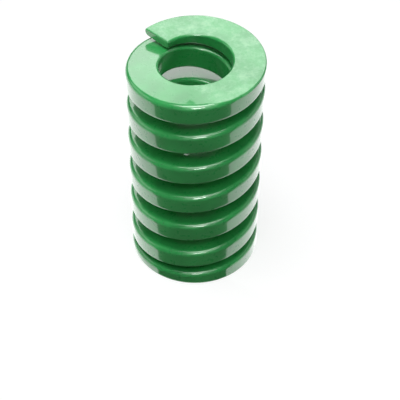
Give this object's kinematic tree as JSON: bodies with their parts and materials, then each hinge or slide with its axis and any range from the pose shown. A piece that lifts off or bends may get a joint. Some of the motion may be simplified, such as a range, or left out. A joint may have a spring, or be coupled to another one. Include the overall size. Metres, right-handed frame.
{
  "type": "die spring",
  "caption": "Heavy-load die spring coiled from rectangular wire, with closed and ground ends, that stands in a hole or over a rod.",
  "frame": {"origin": "on the spring's axis, at the lower ground end", "axes": "+Z along the spring's axis, from the lower ground end to the upper one; from +X towards +Y the upper end's cut tip stands at 136 degrees and the lower end's at 154 degrees"},
  "size_m": [0.0268, 0.0268, 0.05],
  "materials": {
    "green_enamel": "gloss green enamel over spring steel"
  },
  "bodies": {
    "root": {"spring_coil": "green_enamel"}
  },
  "joints": []
}
